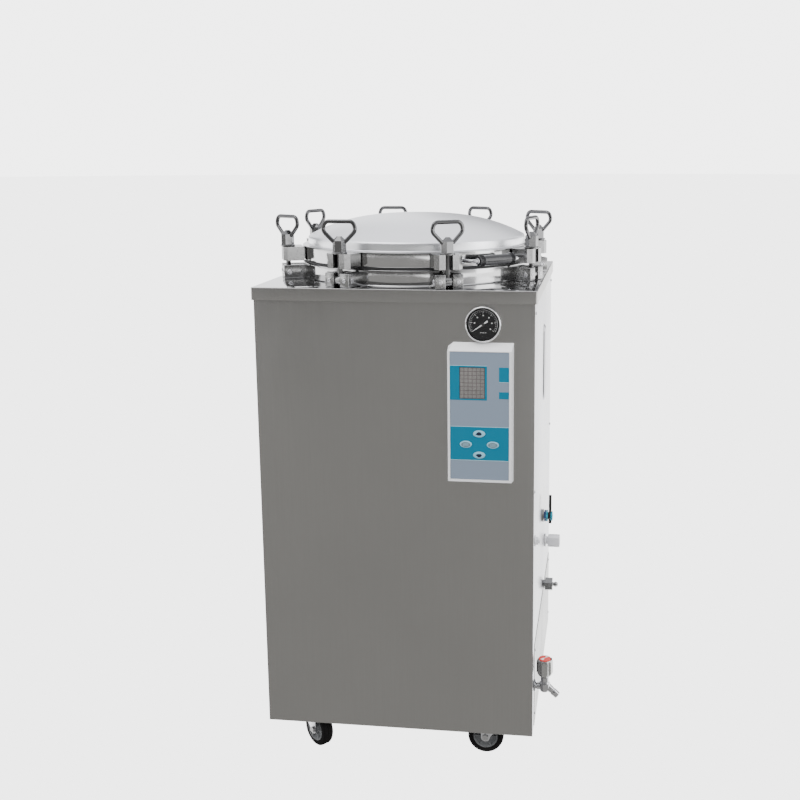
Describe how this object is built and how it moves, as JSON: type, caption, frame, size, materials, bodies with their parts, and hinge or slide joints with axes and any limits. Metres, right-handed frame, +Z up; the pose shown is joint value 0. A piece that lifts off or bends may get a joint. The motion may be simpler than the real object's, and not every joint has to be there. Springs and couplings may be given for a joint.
{
  "type": "vertical steam steriliser",
  "caption": "Floor-standing top-loading steam steriliser: square steel cabinet on castors, round chamber with a domed lid held by swing-bolt clamps.",
  "frame": {"origin": "bottom centre of the box round the whole machine, on the floor under the castors", "axes": "+Z up, -Y out of the front with the control panel, +X out of the side with the valves and the drain tap"},
  "size_m": [0.6154, 0.5828, 1.1156],
  "materials": {
    "brushed_panel": "vertical brushed stainless sheet, grey",
    "side_panel": "light brushed stainless sheet",
    "polished_steel": "mirror polished stainless",
    "dome_satin": "fine satin stainless",
    "cast_steel": "bright machined stainless castings",
    "frame_steel": "grey painted steel angle",
    "mesh_steel": "perforated stainless",
    "heater_sheath": "heat-stained tubular sheath",
    "seal_rubber": "dark silicone seal",
    "tyre_rubber": "black tyre on a grey hub",
    "castor_zinc": "zinc plated pressings",
    "black_plastic": "black moulding",
    "white_plastic": "white moulding",
    "membrane_film": "printed grey-blue and teal film",
    "window_film": "grey ruled display window",
    "key_cap": "pale blue key",
    "circuit_board": "green board",
    "dial_black": "black dial with white marks",
    "needle_white": "white pointer",
    "gauge_lens": "flat clear lens",
    "knob_grey": "grey knob with a red cap disc"
  },
  "bodies": {
    "cabinet": {"base_frame": "frame_steel", "front_panel": "brushed_panel", "back_panel": "brushed_panel", "left_side_panel": "brushed_panel", "right_side_panel": "side_panel", "top_cover": "polished_steel", "chamber_vessel": "polished_steel", "lid_gasket": "seal_rubber", "heating_element": "heater_sheath", "support_plate": "mesh_steel", "lid_hinge_bracket": "cast_steel", "lid_hinge_pin": "polished_steel", "gauge_case": "polished_steel", "gauge_dial": "dial_black", "gauge_glass": "gauge_lens", "control_housing": "white_plastic", "control_membrane": "membrane_film", "display_window": "window_film", "control_board": "circuit_board", "exhaust_valve_body": "cast_steel", "overflow_fitting": "white_plastic", "condensate_valve": "cast_steel", "drain_tap_body": "polished_steel", "power_inlet": "black_plastic"},
    "lid": {"lid_shell": "dome_satin", "lid_hinge_arm": "cast_steel", "lid_handle_bail": "polished_steel", "lid_handle_grip": "black_plastic"},
    "basket": {"sterilising_basket": "mesh_steel"},
    "clamp_1": {"swing_bolt_1": "cast_steel"},
    "clamp_nut_1": {"ring_nut_1": "polished_steel"},
    "clamp_2": {"swing_bolt_2": "cast_steel"},
    "clamp_nut_2": {"ring_nut_2": "polished_steel"},
    "clamp_3": {"swing_bolt_3": "cast_steel"},
    "clamp_nut_3": {"ring_nut_3": "polished_steel"},
    "clamp_4": {"swing_bolt_4": "cast_steel"},
    "clamp_nut_4": {"ring_nut_4": "polished_steel"},
    "clamp_5": {"swing_bolt_5": "cast_steel"},
    "clamp_nut_5": {"ring_nut_5": "polished_steel"},
    "clamp_6": {"swing_bolt_6": "cast_steel"},
    "clamp_nut_6": {"ring_nut_6": "polished_steel"},
    "clamp_7": {"swing_bolt_7": "cast_steel"},
    "clamp_nut_7": {"ring_nut_7": "polished_steel"},
    "clamp_8": {"swing_bolt_8": "cast_steel"},
    "clamp_nut_8": {"ring_nut_8": "polished_steel"},
    "tap_knob": {"drain_tap_knob": "knob_grey"},
    "exhaust_lever": {"exhaust_valve_lever": "black_plastic"},
    "needle": {"gauge_needle": "needle_white"},
    "key_up_button": {"key_up": "key_cap"},
    "key_down_button": {"key_down": "key_cap"},
    "key_left_button": {"key_left": "key_cap"},
    "key_right_button": {"key_right": "key_cap"},
    "castor_1": {"castor_fork_1": "castor_zinc"},
    "castor_tyre_1": {"castor_wheel_1": "tyre_rubber"},
    "castor_2": {"castor_fork_2": "castor_zinc"},
    "castor_tyre_2": {"castor_wheel_2": "tyre_rubber"},
    "castor_3": {"castor_fork_3": "castor_zinc"},
    "castor_tyre_3": {"castor_wheel_3": "tyre_rubber"},
    "castor_4": {"castor_fork_4": "castor_zinc"},
    "castor_tyre_4": {"castor_wheel_4": "tyre_rubber"}
  },
  "joints": [
    {"name": "basket_lift", "type": "slide", "parent": "cabinet", "child": "basket", "axis": [0, 0, 1], "range_m": [0, 0.18]},
    {"name": "chamber_lid_hinge", "type": "hinge", "parent": "cabinet", "child": "lid", "pos_m": [-0.25111, 0.22981, 1.054], "axis": [-0.7071, -0.7071, 0], "range_deg": [0, 80]},
    {"name": "clamp_1_swing", "type": "hinge", "parent": "cabinet", "child": "clamp_1", "pos_m": [0.0847, -0.25592, 0.9975], "axis": [0.9239, 0.3827, 0], "range_deg": [0, 90]},
    {"name": "clamp_2_swing", "type": "hinge", "parent": "cabinet", "child": "clamp_2", "pos_m": [0.23461, -0.106, 0.9975], "axis": [0.3827, 0.9239, 0], "range_deg": [0, 90]},
    {"name": "clamp_3_swing", "type": "hinge", "parent": "cabinet", "child": "clamp_3", "pos_m": [0.23461, 0.106, 0.9975], "axis": [-0.3827, 0.9239, 0], "range_deg": [0, 90]},
    {"name": "clamp_4_swing", "type": "hinge", "parent": "cabinet", "child": "clamp_4", "pos_m": [0.0847, 0.25592, 0.9975], "axis": [-0.9239, 0.3827, 0], "range_deg": [0, 90]},
    {"name": "clamp_5_swing", "type": "hinge", "parent": "cabinet", "child": "clamp_5", "pos_m": [-0.1273, 0.25592, 0.9975], "axis": [-0.9239, -0.3827, 0], "range_deg": [0, 90]},
    {"name": "clamp_6_swing", "type": "hinge", "parent": "cabinet", "child": "clamp_6", "pos_m": [-0.27721, 0.106, 0.9975], "axis": [-0.3827, -0.9239, 0], "range_deg": [0, 90]},
    {"name": "clamp_7_swing", "type": "hinge", "parent": "cabinet", "child": "clamp_7", "pos_m": [-0.27721, -0.106, 0.9975], "axis": [0.3827, -0.9239, 0], "range_deg": [0, 90]},
    {"name": "clamp_8_swing", "type": "hinge", "parent": "cabinet", "child": "clamp_8", "pos_m": [-0.1273, -0.25592, 0.9975], "axis": [0.9239, -0.3827, 0], "range_deg": [0, 90]},
    {"name": "nut_1_turn", "type": "hinge", "parent": "clamp_1", "child": "clamp_nut_1", "pos_m": [0.0847, -0.25592, 0.9975], "axis": [0, 0, 1], "continuous": true},
    {"name": "nut_2_turn", "type": "hinge", "parent": "clamp_2", "child": "clamp_nut_2", "pos_m": [0.23461, -0.106, 0.9975], "axis": [0, 0, 1], "continuous": true},
    {"name": "nut_3_turn", "type": "hinge", "parent": "clamp_3", "child": "clamp_nut_3", "pos_m": [0.23461, 0.106, 0.9975], "axis": [0, 0, 1], "continuous": true},
    {"name": "nut_4_turn", "type": "hinge", "parent": "clamp_4", "child": "clamp_nut_4", "pos_m": [0.0847, 0.25592, 0.9975], "axis": [0, 0, 1], "continuous": true},
    {"name": "nut_5_turn", "type": "hinge", "parent": "clamp_5", "child": "clamp_nut_5", "pos_m": [-0.1273, 0.25592, 0.9975], "axis": [0, 0, 1], "continuous": true},
    {"name": "nut_6_turn", "type": "hinge", "parent": "clamp_6", "child": "clamp_nut_6", "pos_m": [-0.27721, 0.106, 0.9975], "axis": [0, 0, 1], "continuous": true},
    {"name": "nut_7_turn", "type": "hinge", "parent": "clamp_7", "child": "clamp_nut_7", "pos_m": [-0.27721, -0.106, 0.9975], "axis": [0, 0, 1], "continuous": true},
    {"name": "nut_8_turn", "type": "hinge", "parent": "clamp_8", "child": "clamp_nut_8", "pos_m": [-0.1273, -0.25592, 0.9975], "axis": [0, 0, 1], "continuous": true},
    {"name": "drain_tap_turn", "type": "hinge", "parent": "cabinet", "child": "tap_knob", "pos_m": [0.2767, -0.238, 0.162], "axis": [0, 0, 1], "range_deg": [0, 90]},
    {"name": "exhaust_lever_turn", "type": "hinge", "parent": "cabinet", "child": "exhaust_lever", "pos_m": [0.2547, -0.01, 0.446], "axis": [1, 0, 0], "range_deg": [0, 90]},
    {"name": "gauge_needle_turn", "type": "hinge", "parent": "cabinet", "child": "needle", "pos_m": [0.1557, -0.276, 0.9198], "axis": [0, 1, 0], "range_deg": [0, 250], "stiffness_Nm_per_rad": 0.001},
    {"name": "key_up_press", "type": "slide", "parent": "cabinet", "child": "key_up_button", "axis": [0, 1, 0], "range_m": [0, 0.001], "stiffness_N_per_m": 500},
    {"name": "key_down_press", "type": "slide", "parent": "cabinet", "child": "key_down_button", "axis": [0, 1, 0], "range_m": [0, 0.001], "stiffness_N_per_m": 500},
    {"name": "key_left_press", "type": "slide", "parent": "cabinet", "child": "key_left_button", "axis": [0, 1, 0], "range_m": [0, 0.001], "stiffness_N_per_m": 500},
    {"name": "key_right_press", "type": "slide", "parent": "cabinet", "child": "key_right_button", "axis": [0, 1, 0], "range_m": [0, 0.001], "stiffness_N_per_m": 500},
    {"name": "swivel_1_turn", "type": "hinge", "parent": "cabinet", "child": "castor_1", "pos_m": [0.1787, -0.22, 0.09], "axis": [0, 0, 1], "continuous": true},
    {"name": "wheel_1_roll", "type": "hinge", "parent": "castor_1", "child": "castor_tyre_1", "pos_m": [0.1537, -0.22, 0.0375], "axis": [0, -1, 0], "continuous": true},
    {"name": "swivel_2_turn", "type": "hinge", "parent": "cabinet", "child": "castor_2", "pos_m": [-0.2213, -0.22, 0.09], "axis": [0, 0, 1], "continuous": true},
    {"name": "wheel_2_roll", "type": "hinge", "parent": "castor_2", "child": "castor_tyre_2", "pos_m": [-0.20215, -0.23607, 0.0375], "axis": [0.6428, 0.766, 0], "continuous": true},
    {"name": "swivel_3_turn", "type": "hinge", "parent": "cabinet", "child": "castor_3", "pos_m": [-0.2213, 0.22, 0.09], "axis": [0, 0, 1], "continuous": true},
    {"name": "wheel_3_roll", "type": "hinge", "parent": "castor_3", "child": "castor_tyre_3", "pos_m": [-0.19864, 0.23056, 0.0375], "axis": [-0.4226, 0.9063, 0], "continuous": true},
    {"name": "swivel_4_turn", "type": "hinge", "parent": "cabinet", "child": "castor_4", "pos_m": [0.1787, 0.22, 0.09], "axis": [0, 0, 1], "continuous": true},
    {"name": "wheel_4_roll", "type": "hinge", "parent": "castor_4", "child": "castor_tyre_4", "pos_m": [0.15705, 0.2325, 0.0375], "axis": [-0.5, -0.866, 0], "continuous": true}
  ]
}
